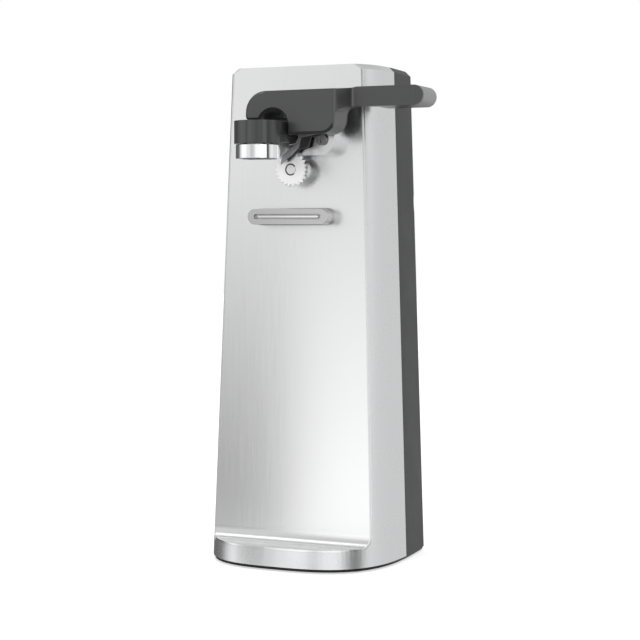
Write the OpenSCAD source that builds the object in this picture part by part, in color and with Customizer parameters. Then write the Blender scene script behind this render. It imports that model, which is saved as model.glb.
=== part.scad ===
// Electric can opener: a tapered column with a drive wheel, a lever with
// cutter and lid magnet, and a geared shaded-pole motor inside.
// Built about the column: X to the right, Y to the back, Z up, floor at 0.
// Y is 0 where the plane of the front plate would meet the floor.
// Gear, spindle, motor and lever axes all run along Y.

/* [Column] */
// Height of the column
body_h = 250; // [220:1:280]
// Half of the column's width at the floor
base_half = 49.8; // [44:0.2:58]
// Half of the column's width at the top
top_half = 42.3; // [38:0.2:48]
// Depth of the bowed front at the floor, from its widest point
base_bow = 58.2; // [52:0.2:64]
// Depth of the bowed front at the top
top_bow = 42.2; // [40:0.2:46]
// Squareness of the plan curve, 2 is an ellipse
squareness = 2.87; // [2.4:0.01:3.2]
// Distance of the flat back from the front plane, at the floor
back_y = 64.8; // [62:0.2:70]
// How far the back leans forward over the full height
back_lean = 2.4; // [0:0.1:4]
// Distance of the seam between the two shells
seam_y = 33.3; // [31:0.1:35]
// How far the front plate leans back over the full height
front_lean = 7.9; // [6:0.1:9]
// Shell wall thickness
wall = 2.2; // [1.8:0.1:2.6]
// Chamfer round the top
top_chamfer = 2.6; // [1:0.1:4]
// Height of the step at the foot of the front plate
ledge_z = 11.6; // [9:0.1:14]
// Bend radius between front plate and step
ledge_r = 6; // [4:0.1:8]
// Thickness of the steel front plate
plate_t = 1; // [0.6:0.1:1.4]
// Underside of the shells above the floor
skirt_z = 2.3; // [2:0.1:3]

/* [Drive] */
// Drive spindle, sideways place
spindle_x = 2; // [0:0.5:4]
// Drive spindle height
spindle_z = 198; // [196:0.5:200]
// Radius of the spindle where it runs in its bush
spindle_r = 4; // [3.5:0.1:4.5]
// Tip radius of the toothed drive wheel
wheel_r = 8.5; // [8:0.1:9]
// Number of teeth on the drive wheel
wheel_teeth = 22; // [18:1:26]
// Front face of the drive wheel
wheel_y = -4.2; // [-5:0.1:-4]
// Thickness of the drive wheel
wheel_t = 2.5; // [2:0.1:3]

/* [Gears] */
// Module of the motor pinion and first gear
mod_1 = 0.6; // [0.6]
// Module of the first pinion and the intermediate gear
mod_2 = 0.8; // [0.8]
// Module of the intermediate pinion and the output gear
mod_3 = 0.9; // [0.9]
// Teeth of the motor pinion
motor_teeth = 12; // [12]
// Teeth of the first gear
first_teeth = 72; // [72]
// Teeth of the two small pinions
pinion_teeth = 14; // [14]
// Teeth of the intermediate and output gears
large_teeth = 56; // [56]
// Backlash left on each tooth flank
backlash = 0.06; // [0.04:0.01:0.1]
// Radial running clearance of every shaft in its bush
run_gap = 0.05; // [0.02:0.01:0.1]

/* [Lever] */
// Lever pivot, sideways place
pivot_x = -11; // [-12:0.5:-10]
// Lever pivot height
pivot_z = 229; // [228:0.5:230]
// Radius of the lever's pivot pin
pivot_r = 3; // [2.5:0.1:3.5]
// Top edge of the lever
lever_top = 236; // [235:0.1:238]
// Bottom edge of the lever's broad part
lever_low = 214.6; // [214:0.1:216]
// Right end of the lever's broad part
lever_right = 31.6; // [30:0.1:33]
// Front face of the lever
lever_y = -18; // [-19:0.1:-17]
// Right end of the handle
handle_end = 72.2; // [68:0.1:76]
// Height of the handle bar
handle_h = 9.6; // [9:0.1:11]
// Front face of the handle bar
handle_y = -7; // [-8:0.1:-6]

/* [Magnet] */
// Lid magnet, sideways place
magnet_x = -5.2; // [-6:0.1:-4]
// Lid magnet, distance of its centre in front
magnet_y = -26.2; // [-27:0.1:-25]
// Underside of the magnet cup
magnet_z = 202.5; // [202:0.1:204]
// Radius of the magnet cup
cup_r = 10.9; // [10:0.1:11]

/* [Hidden] */
$fn = 48;
tiny = 0.01;
far = 400;

// The frame's origin is under the middle of the whole opener.
holder_wall = 0.8;
gland_lip = 1.6;
gland_x = 26;
gland_z = 17;
gland_y = back_y - back_lean * gland_z / body_h + 0.1;
shell_half = base_half + (top_half - base_half) * skirt_z / body_h;
centre_x = (handle_end - shell_half) / 2;
centre_y = (gland_y + gland_lip + magnet_y - cup_r - holder_wall) / 2;

// Column.
plan_y = 39.2;
rear_r = 4;
rear_in = 0.8;
plan_step = 3;
corner_steps = 4;
floor_gap = 0.8;
seam_gap = 0.2;
edge_gap = 0.35;
groove_z = 182.2;
groove_r = 9;
groove_depth = 3.7;

// Stack of the drive along Y.
front_plate_y = 12.5;
steel_t = 1.5;
rear_plate_y = 33;
output_y = 15.2;
output_t = 5.6;
mid_y = 22.6;
mid_t = 3.8;
first_y = 28;
first_t = 3;
stack_y = 36.8;
stack_t = 16;
bracket_y = 55;

// Gear centres: each mesh stands at half the sum of its teeth.
mesh_3 = mod_3 * (pinion_teeth + large_teeth) / 2;
mesh_2 = mod_2 * (pinion_teeth + large_teeth) / 2;
mesh_1 = mod_1 * (motor_teeth + first_teeth) / 2;
mid_dx = -14;
first_dx = 20;
motor_dx = -8;
spindle = [spindle_x, spindle_z];
mid_axis = spindle + [mid_dx, -sqrt(mesh_3 * mesh_3 - mid_dx * mid_dx)];
first_axis = mid_axis + [first_dx, -sqrt(mesh_2 * mesh_2 - first_dx * first_dx)];
motor_axis = first_axis + [motor_dx, -sqrt(mesh_1 * mesh_1 - motor_dx * motor_dx)];
pressure = 25;
axle_r = 2;
shaft_r = 2.5;
rotor_r = 12;
air_gap = 0.4;
nose_r = 2.5;
bush_r = spindle_r + 1.6;
bush_front = 4.6;

// Gear plates.
plate_left = -33.5;
plate_right = 33.5;
plate_top = 242;
plate_low = 110;
pillars = [[-29, 116], [29.5, 116], [29.5, 230], [-29.5, 200]];
stator_w = 56;
stator_top = 17;
stator_low = 44;
limb_w = 24;
limb_drop = 27.5;
limb_h = 19;

// Lever and what it carries.
handle_rise = 1.4;
handle_mid = lever_top + handle_rise - handle_h / 2;
handle_t = 4;
handle_skin = 1.2;
neck_run = 4.4;
neck_r = 2;
grip_left = 47;
grip_back = 13.2;
grip_wall = 3;
lever_t = 15;
skin = 2.2;
arch_x = -1.5;
arch_r = 7.5;
arch_z = 219.2;
heel_z = 221.9;
hinge_y = -9.5;
hinge_z = 220.5;
hinge_r = 1.25;
cup_h = 6.8;
blade_y = -7.7;
blade_t = 1.6;
support_t = 1.6;
switch_reach = 20;
switch_gap = 1;
travel = 0.8;

function mix(a, b, t) = a + (b - a) * t;
function lean_at(z) = front_lean * z / body_h;
function back_at(z) = back_y - back_lean * z / body_h;
function turn(a) = [cos(a), sin(a)];
function arc(c, r, from, to, steps = 8) =
    [for (i = [0 : steps]) c + r * turn(mix(from, to, i / steps))];
function signed_pow(v, e) = sign(v) * pow(abs(v), e);

// ---------- helpers ----------

module in_frame() translate([-centre_x, -centre_y, 0]) children();

// Round rod along Y, from y over a length.
module rod(p, y, len, r) translate([p[0], y, p[1]]) rotate([-90, 0, 0]) cylinder(h = len, r = r);

// Outline drawn in X and Z, raised along Y from y over a thickness.
module sheet(y, t) translate([0, y + t, 0]) rotate([90, 0, 0]) linear_extrude(t) children();

// Outline drawn in Y and Z, raised along X from x over a width.
module side_sheet(x, w) translate([x, 0, 0]) rotate([90, 0, 90]) linear_extrude(w) children();

module rect(x0, z0, x1, z1) translate([x0, z0]) square([x1 - x0, z1 - z0]);

module round_rect(x0, z0, x1, z1, r) hull()
    for (x = [x0 + r, x1 - r], z = [z0 + r, z1 - r]) translate([x, z]) circle(r, $fn = 32);

module stadium(p, w, h) {
    translate(p - [w / 2 - h / 2, h / 2]) square([w - h, h]);
    for (s = [-1, 1]) translate(p + [s * (w - h) / 2, 0]) circle(h / 2);
}

// Screw along Y: head from y towards the front (or back when flipped).
module screw(p, y, len, r, head_r, head_h, flip = false) {
    translate([p[0], y, p[1]]) rotate([flip ? 90 : -90, 0, 0]) difference() {
        union() {
            translate([0, 0, -head_h / 2]) cylinder(h = len + head_h / 2, r = r);
            translate([0, 0, -head_h]) cylinder(h = head_h, r = head_r);
        }
        for (a = [0, 90]) rotate([0, 0, a]) translate([-head_r * 0.62, -head_r * 0.11, -head_h - 1])
            cube([head_r * 1.24, head_r * 0.22, 1 + head_h * 0.55]);
    }
}

// ---------- column ----------

// Plan outline at height z, moved in by d.
function ring(z, d) = let(
    t = z / body_h, a = mix(base_half, top_half, t) - d, b = mix(base_bow, top_bow, t) - d,
    r = max(rear_r - d, 1), cx = a - rear_in - r, cy = back_at(z) - d - r)
    concat(
        [for (u = [-90 : plan_step : 90]) [a * signed_pow(sin(u), 2 / squareness),
            plan_y - b * pow(max(cos(u), 0), 2 / squareness), z]],
        [for (i = [0 : corner_steps]) concat([cx, cy] + r * turn(90 * i / corner_steps), z)],
        [for (i = [0 : corner_steps]) concat([-cx, cy] + r * turn(90 + 90 * i / corner_steps), z)]);

// Solid through a list of [height, inset] levels.
module loft(levels) {
    rings = [for (l = levels) ring(l[0], l[1])];
    n = len(rings[0]);
    last = len(rings) - 1;
    sides = [for (k = [0 : last - 1], i = [0 : n - 1]) let(j = (i + 1) % n)
        each [[k * n + i, (k + 1) * n + i, (k + 1) * n + j], [k * n + i, (k + 1) * n + j, k * n + j]]];
    polyhedron([for (r = rings) each r], concat(sides,
        [[for (i = [0 : n - 1]) i]], [[for (i = [n - 1 : -1 : 0]) last * n + i]]));
}

module column(z0, d = 0) loft([[z0, d], [body_h - top_chamfer, d], [body_h, d + top_chamfer]]);

module column_inside() loft([[-5, wall], [body_h - top_chamfer - wall, wall],
    [body_h - wall, wall + top_chamfer]]);

// Everything behind the front plane and under the step, moved back by t.
module behind(t) {
    c = [lean_at(ledge_z + ledge_r) - ledge_r, ledge_z + ledge_r];
    top = body_h + 20;
    side_sheet(-far / 2, far) polygon(concat(
        [[-60, ledge_z - t]], arc(c, ledge_r + t, -90, 0, 12),
        [[lean_at(top) + t, top], [far, top], [far, -20], [-60, -20]]));
}

boss_spots = [[-43, 30], [43, 30], [-37.6, 214], [37.6, 214]];
boss_r = 3.5;
boss_start = 18;
boss_end = 40;
screw_r = 1.5;

module front_shell() color("silver") in_frame() difference() {
    union() {
        difference() {
            intersection() {
                column(skirt_z);
                behind(plate_t);
                translate([-far / 2, -far, 0]) cube([far, far + seam_y - seam_gap / 2, far]);
            }
            intersection() {
                column_inside();
                behind(plate_t + wall);
            }
        }
        intersection() {
            column(skirt_z, wall / 2);
            for (p = boss_spots) rod(p, boss_start, boss_end - boss_start, boss_r);
        }
        for (p = pillars) rod(p, lean_at(p[1]) + plate_t + wall / 2,
            front_plate_y - lean_at(p[1]) - plate_t - wall / 2, 3.5);
        for (p = base_screw_spots) translate([p[0], p[1], 9.3]) cylinder(h = 14, r = 3.7);
    }
    for (p = base_screw_spots) translate([p[0], p[1], 0]) cylinder(h = 20, r = screw_r);
    for (p = boss_spots) rod(p, boss_end - 12, 20, screw_r);
    for (p = pillars) rod(p, front_plate_y - 4, 10, 1.25);
    rod(spindle, -5, 30, bush_r + 0.05);
    rod([pivot_x, pivot_z], -5, 30, pivot_r + 2);
    for (s = [-1, 1]) rod([s * 12, rest_z], 0, 20, 1.3);
    for (p = hub_spots) rod(p, 0, 20, 1.5);
}

module front_plate() color("gainsboro") in_frame() difference() {
    intersection() {
        column(skirt_z, edge_gap);
        behind(0);
    }
    behind(plate_t - tiny);
    rod(spindle, -5, 30, bush_r + 0.05);
    rod([pivot_x, pivot_z], -5, 30, pivot_r + 2);
    for (s = [-1, 1]) rod([s * 12, rest_z], 0, 20, 1.3);
    for (p = hub_spots) rod(p, 0, 20, 1.5);
}

module groove(r) translate([-far / 2, back_at(groove_z) + groove_r - groove_depth, groove_z])
    rotate([0, 90, 0]) cylinder(h = far, r = r, $fn = 64);

gland_r = 5;

module rear_cover() color("dimgray") in_frame() difference() {
    union() {
        difference() {
            intersection() {
                column(skirt_z);
                translate([-far / 2, seam_y + seam_gap / 2, 0]) cube([far, far, far]);
            }
            difference() {
                column_inside();
                groove(groove_r + wall);
            }
        }
        for (p = boss_spots) rod(p, boss_end + 0.05, back_at(p[1]) - boss_end - 1, boss_r);
    }
    groove(groove_r);
    for (p = boss_spots) {
        rod(p, boss_end - 5, 40, screw_r + 0.2);
        rod(p, back_at(p[1]) - 8, 20, 3);
    }
    rod([gland_x, gland_z], gland_y - 10, 20, gland_r);
    cooling_slots();
}

// Cooling slots low on the back.
module cooling_slots() for (i = [-4 : 4]) sheet(back_at(58) - 6, 12)
    translate([i * 5 - 4, 48]) rotate(90) stadium([0, 0], 20, 2);

foot_spots = [[-33, 1], [33, 1], [-40, 50], [40, 50]];
foot_r = 6;
base_screw_spots = [[-43.3, 24], [43.3, 24]];

// Plan of the rim that locates the shells, moved in by d.
module rim_plan(d) polygon([for (p = ring(6, d)) [p[0], p[1]]]);

module base_plate() color("#303234") in_frame() difference() {
    union() {
        loft([[floor_gap, 0.9], [skirt_z, 0.3]]);
        translate([0, 0, skirt_z - 0.5]) linear_extrude(7.2) difference() {
            rim_plan(wall + 0.35);
            rim_plan(wall + 2);
        }
    }
    for (p = foot_spots) translate([p[0], p[1], -1]) cylinder(h = 2.7, r = foot_r);
    for (i = [-3 : 3]) translate([i * 8 - 1.5, 12, -1]) cube([3, 26, 6]);
    for (p = base_screw_spots) translate([p[0], p[1], -1]) cylinder(h = 12, r = 1.7);
    behind_ledge_trim();
}

// Clears the rim where the step of the shell comes low.
module behind_ledge_trim() translate([-far / 2, -60, 7.4]) cube([far, 62, 10]);

module rubber_feet() color("#181818") in_frame() for (p = foot_spots)
    translate([p[0], p[1], 0]) cylinder(h = 1.68, r = foot_r - 0.1);

module base_screws() color("darkgray") in_frame() for (p = base_screw_spots)
    translate([p[0], p[1], 0.9]) {
        cylinder(h = 17, r = screw_r - 0.05);
        cylinder(h = 1.3, r = 1.65);
    }

module housing_screws() color("darkgray") in_frame() for (p = boss_spots)
    screw(p, back_at(p[1]) - 8, 24, screw_r - 0.05, 2.8, 2, true);

// ---------- can rest ----------

rest_z = 174.8;
rest_w = 43.4;
rest_h = 7.8;
slot_w = 36.6;
slot_h = 2.4;

module can_rest() color("lightgray") in_frame() difference() {
    union() {
        sheet(wheel_y, 8.2) stadium([0, rest_z], rest_w, rest_h);
        sheet(wheel_y + 8, 3) stadium([0, rest_z], rest_w + 0.8, rest_h + 0.8);
    }
    behind(-0.03);
    sheet(wheel_y - 1, 3.2) stadium([0, rest_z], slot_w, slot_h);
    for (s = [-1, 1]) rod([s * 12, rest_z], 0.8, 20, 1.25);
}

module can_rest_bar() color("white") in_frame()
    sheet(wheel_y + 0.7, 1.5) stadium([0, rest_z], slot_w - 3.4, slot_h - 1);

module can_rest_screws() color("darkgray") in_frame() for (s = [-1, 1])
    screw([s * 12, rest_z], lean_at(rest_z) + plate_t + wall + 0.2, 8, 1.2, 2.4, 1.6, true);

// ---------- hub and bushes ----------

hub_front = -2.6;
hub_left = -17;
hub_right = 24.8;
hub_low = 204.9;
hub_top = 234.5;
hub_corner = 8;

module hub_housing() color("gainsboro") in_frame() difference() {
    sheet(hub_front, 20) round_rect(hub_left, hub_low, hub_right, hub_top, hub_corner);
    behind(-0.03);
    difference() {
        sheet(hub_front + wall, 20) round_rect(hub_left + 2, hub_low + 2, hub_right - 2, hub_top - 2, hub_corner - 2);
        rod([pivot_x, pivot_z], -10, 30, pivot_r + 4);
        for (p = hub_spots) rod(p, -10, 30, 3);
    }
    rod([pivot_x, pivot_z], -10, 30, pivot_r + 2);
    rod(spindle, -10, 30, wheel_r + 0.9);
    for (p = hub_spots) rod(p, -10, 30, 1.5);
}

hub_spots = [[18.2, 212.6], [18.2, 227]];

module hub_screws() color("#404040") in_frame() for (p = hub_spots)
    screw(p, hub_front, lean_at(p[1]) + plate_t + wall - hub_front, 1.45, 3, 1.5);

module spindle_bush() color("#8a6d3b") in_frame() difference() {
    rod(spindle, bush_front, front_plate_y + steel_t - bush_front, bush_r);
    rod(spindle, -1, 30, spindle_r + run_gap);
}

module lever_bush() color("#8a6d3b") in_frame() difference() {
    rod([pivot_x, pivot_z], hub_front, front_plate_y - hub_front - 1, pivot_r + 1.9);
    rod([pivot_x, pivot_z], -10, 40, pivot_r + run_gap);
}

// ---------- gear frame ----------

module plate_outline(top) round_rect(plate_left, plate_low, plate_right, top, 6);

module front_gear_plate() color("lightsteelblue") in_frame() difference() {
    sheet(front_plate_y, steel_t) plate_outline(plate_top);
    for (p = switch_spots) rod(p, 0, 40, 1.1);
    rod(spindle, 0, 40, bush_r + 0.02);
    rod([pivot_x, pivot_z], 0, 40, pivot_r + 0.6);
    for (p = pillars) rod(p, 0, 40, 1.3);
    for (p = [mid_axis, first_axis]) rod(p, 0, 40, axle_r);
}

module rear_gear_plate() color("lightsteelblue") in_frame() difference() {
    sheet(rear_plate_y, steel_t) plate_outline(plate_top - 6);
    rod(spindle, 0, 60, shaft_r + run_gap);
    rod(motor_axis, 0, 60, 5);
    for (p = pillars) rod(p, 0, 60, 1.3);
    for (p = [mid_axis, first_axis]) rod(p, 0, 60, axle_r);
    for (p = motor_screw_spots) rod(p, 0, 60, 1.6);
}

module plate_pillars() color("silver") in_frame() for (p = pillars) difference() {
    rod(p, front_plate_y + steel_t, rear_plate_y - front_plate_y - steel_t, 3.5);
    rod(p, 0, 60, 1.3);
}

module plate_screws() color("darkgray") in_frame() for (p = pillars)
    screw(p, rear_plate_y + steel_t, rear_plate_y + steel_t - front_plate_y + 3, 1.2, 2.6, 1.8, true);

module gear_axles() color("silver") in_frame() for (p = [mid_axis, first_axis])
    rod(p, front_plate_y, rear_plate_y + steel_t - front_plate_y, axle_r);

module axle_clips() color("#555555") in_frame() {
    ring_y(mid_axis, mid_y + mid_t + 0.9, 0.6, axle_r, axle_r + 1.6);
    ring_y(first_axis, first_y + first_t + 0.6, 0.6, axle_r, axle_r + 1.6);
}

module ring_y(p, y, t, r_in, r_out) difference() {
    rod(p, y, t, r_out);
    rod(p, y - 1, t + 2, r_in);
}

// ---------- gears ----------

// Involute: angle swept, in degrees, where the flank reaches radius r.
function inv_angle(rb, r) = r <= rb ? 0 :
    let(a = acos(rb / r)) tan(a) * 180 / PI - a;

// One flank's half-angle at radius r, for a tooth thinned by the backlash.
function half_tooth(m, n, r) = let(rp = m * n / 2, rb = rp * cos(pressure))
    90 / n - backlash / rp * 180 / PI + inv_angle(rb, rp) - inv_angle(rb, r);

module gear_outline(m, n) {
    rp = m * n / 2;
    tip = rp + 0.85 * m;
    root = rp - 1.15 * m;
    polygon([for (k = [0 : n - 1]) each concat(
        [for (i = [0 : 5]) let(r = mix(root, tip, i / 5)) r * turn(360 * k / n - half_tooth(m, n, r))],
        [for (i = [5 : -1 : 0]) let(r = mix(root, tip, i / 5)) r * turn(360 * k / n + half_tooth(m, n, r))])]);
}

// Gear about an axis; a tooth points at the given angle, or a gap when gap is 1.
module gear(p, y, t, m, n, at, gap = 0) sheet(y, t)
    translate(p) rotate(at + gap * 180 / n) gear_outline(m, n);

function heading(p, q) = atan2(q[1] - p[1], q[0] - p[0]);

module drive_spindle() color("silver") in_frame() {
    rod(spindle, wheel_y + wheel_t, bush_front - 0.3 - wheel_y - wheel_t, spindle_r + 0.8);
    rod(spindle, wheel_y + wheel_t, output_y - 0.2 - wheel_y - wheel_t, spindle_r);
    rod(spindle, wheel_y, wheel_t + 1, nose_r);
    rod(spindle, output_y - 1, rear_plate_y + steel_t + 2 - output_y, shaft_r);
}

module wheel_outline() polygon([for (k = [0 : wheel_teeth - 1]) each [
    wheel_r * turn(360 * k / wheel_teeth),
    (wheel_r - 0.25) * turn(360 * (k + 0.12) / wheel_teeth),
    (wheel_r - 1.5) * turn(360 * (k + 0.62) / wheel_teeth)]]);

module drive_wheel() color("white") in_frame() difference() {
    sheet(wheel_y, wheel_t) translate(spindle) wheel_outline();
    rod(spindle, wheel_y - 1, 10, nose_r + 0.02);
    rod(spindle, wheel_y - 1, 1.3, nose_r + 0.25);
}

module output_gear() color("ivory") in_frame() difference() {
    union() {
        gear(spindle, output_y, output_t, mod_3, large_teeth, heading(spindle, mid_axis));
        rod(spindle, output_y - 0.2, output_t + 2.2, 6);
    }
    difference() {
        rod(spindle, output_y + 2.8, 10, mod_3 * large_teeth / 2 - 4);
        rod(spindle, output_y, 10, 6);
        for (a = [0 : 60 : 300]) translate([spindle[0], 0, spindle[1]]) rotate([0, a, 0])
            translate([0, output_y, -1]) cube([24, output_t - 0.4, 2]);
    }
    rod(spindle, 0, 60, shaft_r);
}

module intermediate_gear() color("ivory") in_frame() difference() {
    union() {
        gear(mid_axis, output_y, mid_y - output_y, mod_3, pinion_teeth, heading(mid_axis, spindle), 1);
        gear(mid_axis, mid_y, mid_t, mod_2, large_teeth, heading(mid_axis, first_axis));
    }
    ring_y(mid_axis, mid_y + 2, 5, 6.5, mod_2 * large_teeth / 2 - 4);
    rod(mid_axis, 0, 60, axle_r + run_gap);
}

module first_gear() color("ivory") in_frame() difference() {
    union() {
        gear(first_axis, mid_y - 0.4, first_y - mid_y + 0.4, mod_2, pinion_teeth,
            heading(first_axis, mid_axis), 1);
        gear(first_axis, first_y, first_t, mod_1, first_teeth, heading(first_axis, motor_axis));
    }
    ring_y(first_axis, first_y + 1.6, 5, 6, mod_1 * first_teeth / 2 - 3);
    rod(first_axis, 0, 60, axle_r + run_gap);
}

// ---------- motor ----------

module motor_pinion() color("goldenrod") in_frame() difference() {
    gear(motor_axis, first_y - 0.6, first_t + 1.2, mod_1, motor_teeth, heading(motor_axis, first_axis), 1);
    rod(motor_axis, 0, 60, 1.5);
}

module motor_shaft() color("silver") in_frame() {
    rod(motor_axis, first_y - 0.8, 6, 1.5);
    rod(motor_axis, first_y + first_t + 0.8, bracket_y + 2.2 - first_y - first_t - 0.8, shaft_r);
}

module rotor() color("slategray") in_frame() difference() {
    rod(motor_axis, stack_y, stack_t, rotor_r);
    rod(motor_axis, 0, 80, shaft_r);
}

motor_screw_spots = [for (s = [-1, 1]) motor_axis + [s * 23, 11]];
ring_spots = [for (s = [-1, 1], d = [13.4, 18.4]) motor_axis + [s * d, 7]];
coil_mid = [motor_axis[0], stack_y + stack_t / 2, motor_axis[1] - limb_drop];

module motor_spacers() color("silver") in_frame() for (p = motor_screw_spots)
    ring_y(p, rear_plate_y + steel_t, stack_y - rear_plate_y - steel_t, 1.6, 3.2);

module stator() color("slategray") in_frame() difference() {
    sheet(stack_y, stack_t) difference() {
        translate(motor_axis) round_rect(-stator_w / 2, -stator_low, stator_w / 2, stator_top, 2);
        translate(motor_axis) circle(rotor_r + air_gap);
        for (s = [-1, 1]) translate(motor_axis + [s * (limb_w / 2 + 4), -limb_drop])
            square([8, limb_h], center = true);
    }
    for (p = motor_screw_spots) rod(p, 0, 80, 1.6);
    for (p = ring_spots) rod(p, 0, 80, 1);
}

module shading_rings() color("peru") in_frame() {
    for (p = ring_spots) rod(p, stack_y - 1, stack_t + 2, 0.98);
    for (y = [stack_y - 1.8, stack_y + stack_t + 0.1], s = [-1, 1])
        sheet(y, 1.7) translate(motor_axis + [s * 15.9, 7]) stadium([0, 0], 7.2, 2.2);
}

module coil_box(x, y, h) translate(coil_mid) cube([limb_w + x, stack_t + y, h], center = true);

module coil_bobbin() color("ivory") in_frame() difference() {
    union() {
        coil_box(2.4, 2.4, limb_h - 0.4);
        for (s = [-1, 1]) translate([0, 0, s * (limb_h / 2 - 0.9)]) coil_box(14, 10, 1.4);
    }
    coil_box(0.2, 0.2, 40);
}

module motor_coil() color("#b06a35") in_frame() difference() {
    coil_box(13, 9, limb_h - 3.4);
    coil_box(2.5, 2.5, 40);
}

module rear_bracket() color("silver") in_frame() difference() {
    union() {
        sheet(bracket_y, 1.2) translate(motor_axis) round_rect(-27, -7, 27, 15, 3);
        for (p = motor_screw_spots) rod(p, stack_y + stack_t, bracket_y - stack_y - stack_t + 1, 3);
    }
    rod(motor_axis, 0, 80, 4.6);
    for (p = motor_screw_spots) rod(p, 0, 80, 1.6);
}

module motor_bearings() color("#8a6d3b") in_frame() {
    ring_y(motor_axis, rear_plate_y - 0.8, steel_t + 1.4, shaft_r + run_gap, 4.95);
    ring_y(motor_axis, bracket_y - 1.2, 3, shaft_r + run_gap, 4.55);
}

module motor_screws() color("darkgray") in_frame() for (p = motor_screw_spots)
    screw(p, bracket_y + 1.2, bracket_y + 1.2 - rear_plate_y + 1, 1.5, 2.8, 1.6, true);

// ---------- lever ----------

// Broad part of the lever with its arch, seen from the front.
module lever_outline() polygon(concat(
    arc([lever_right - 7.5, lever_low + 7.5], 7.5, -90, 0),
    [[lever_right, lever_top]],
    arc([-5.9, lever_top - 10.5], 10.5, 90, 180),
    arc([-14.4, heel_z + 2], 2, 180, 270, 4),
    arc([arch_x, arch_z], arch_r, 159, 0, 12),
    [[arch_x + arch_r, lever_low]]));

// Handle bar and the curved neck under it.
module handle_outline() {
    h = handle_h / 2;
    polygon([[lever_right - 1, handle_mid - h], [lever_right - 1, lever_top],
        [lever_right + 0.5, lever_top], [lever_right + neck_run + 2, handle_mid + h],
        [handle_end - h, handle_mid + h], [handle_end - h, handle_mid - h]]);
    translate([handle_end - h, handle_mid]) circle(h);
    difference() {
        translate([lever_right - 4, handle_mid - h - 4.5]) square([8.5, 4.6]);
        translate([lever_right + 4.5, handle_mid - h - 4.5]) circle(4.5);
    }
}

// Plan of the lever: broad part in front, then the step back to the handle.
module lever_plan() offset(-neck_r) offset(2 * neck_r) offset(-neck_r)
    polygon([[-30, lever_y], [lever_right, lever_y], [lever_right + neck_run, handle_y],
        [90, handle_y], [90, handle_y + handle_t + 1], [lever_right + neck_run, handle_y + handle_t + 1],
        [lever_right, lever_y + lever_t], [-30, lever_y + lever_t]]);

module lever_cover() color("#55575a") in_frame() difference() {
    intersection() {
        sheet(lever_y - 1, 30) union() {
            lever_outline();
            handle_outline();
        }
        translate([0, 0, 180]) linear_extrude(90) lever_plan();
    }
    // hollow of the broad part, open at the back
    difference() {
        sheet(lever_y + skin, 30) intersection() {
            offset(-skin) lever_outline();
            rect(-20, 200, lever_right - 1, 250);
        }
        rod([pivot_x, pivot_z], lever_y, 13.4, 4.8);
        for (p = plate_spots) rod(p, lever_y, lever_plate_y - lever_y, 2.6);
    }
    rod([pivot_x, pivot_z], lever_y + skin + 1, 30, pivot_r);
    for (p = plate_spots) rod(p, lever_y + skin + 1, 30, 1.15);
    magnet_hinge(40, hinge_r);
    // rebate for the grip behind the handle bar
    translate([grip_left, handle_y + handle_skin, handle_mid - handle_h]) cube([60, 20, 2 * handle_h]);
    // opening in the underside for the cutter
    translate([arch_x + arch_r + 1.1, lever_plate_y - 2.4, lever_low - 4]) cube([16.2, 20, 12]);
}

// Round rod along X about the magnet arm's hinge line.
module magnet_hinge(w, r) translate([arch_x - w / 2, hinge_y, hinge_z]) rotate([0, 90, 0]) cylinder(h = w, r = r);

plate_spots = [[12, 231], [27.2, 231], [27, 221.5]];

module handle_grip() color("silver") in_frame() difference() {
    sheet(handle_y + handle_skin, grip_back - handle_y - handle_skin) union() {
        translate([grip_left, handle_mid - handle_h / 2]) square([handle_end - grip_left - handle_h / 2, handle_h]);
        translate([handle_end - handle_h / 2, handle_mid]) circle(handle_h / 2);
    }
    sheet(handle_y + handle_t, grip_back) translate([grip_left + grip_wall, handle_mid - handle_h / 2 + 2])
        square([handle_end - grip_left - 2 * grip_wall - 3, handle_h - 4]);
}

// Steel plate across the back of the cover; it carries the cutter and the magnet arm.
lever_plate_y = -9.4;

module lever_plate() color("lightsteelblue") in_frame() difference() {
    union() {
        sheet(lever_plate_y, 1.6) intersection() {
            offset(-skin - 0.3) lever_outline();
            rect(arch_x + arch_r, 200, lever_right - 2, 250);
        }
        sheet(lever_plate_y, 1.6) rect(-6, 229.2, 14, lever_top - skin - 0.4);
    }
    rod([pivot_x, pivot_z], -40, 80, 4.9);
    for (p = plate_spots) rod(p, -40, 80, 1.3);
    for (p = cutter_spots) rod(p, -40, 80, 1.3);
}

module lever_screws() color("darkgray") in_frame() for (p = plate_spots)
    screw(p, lever_plate_y + 1.6, 6, 1.1, 2.1, 1.3, true);

arm_y = front_plate_y + steel_t + 1.3;

module lever_pin() color("silver") in_frame() difference() {
    rod([pivot_x, pivot_z], lever_y + skin + 1, arm_y + 3 - lever_y - skin - 1, pivot_r);
    ring_y([pivot_x, pivot_z], arm_y - 0.9, 0.8, pivot_r - 0.6, pivot_r + 1);
}

module lever_clip() color("#555555") in_frame()
    ring_y([pivot_x, pivot_z], arm_y - 0.85, 0.7, pivot_r - 0.6, pivot_r + 1.8);

module switch_arm() color("silver") in_frame() difference() {
    sheet(arm_y, 2) hull() {
        translate([pivot_x, pivot_z]) circle(4.6, $fn = 32);
        translate([pivot_x - switch_reach, pivot_z]) circle(1.6, $fn = 32);
    }
    rod([pivot_x, pivot_z], 0, 60, pivot_r);
}

// ---------- cutter ----------

cutter_spots = [[11, 218.5], [18, 218.5]];
tip = [-1.9, 200.5];

module cutter_blade() color("gray") in_frame() difference() {
    sheet(blade_y, blade_t) polygon([tip, tip + [0.9, 4.6], tip + [7.8, 9.4],
        tip + [9.5, 13], tip + [9.5, 21], tip + [24, 21], tip + [24, 15.2], tip + [11.1, 13],
        tip + [9.9, 8.2], tip + [6.7, 5]]);
    for (p = cutter_spots) rod(p, -40, 80, 1.3);
}

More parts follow.
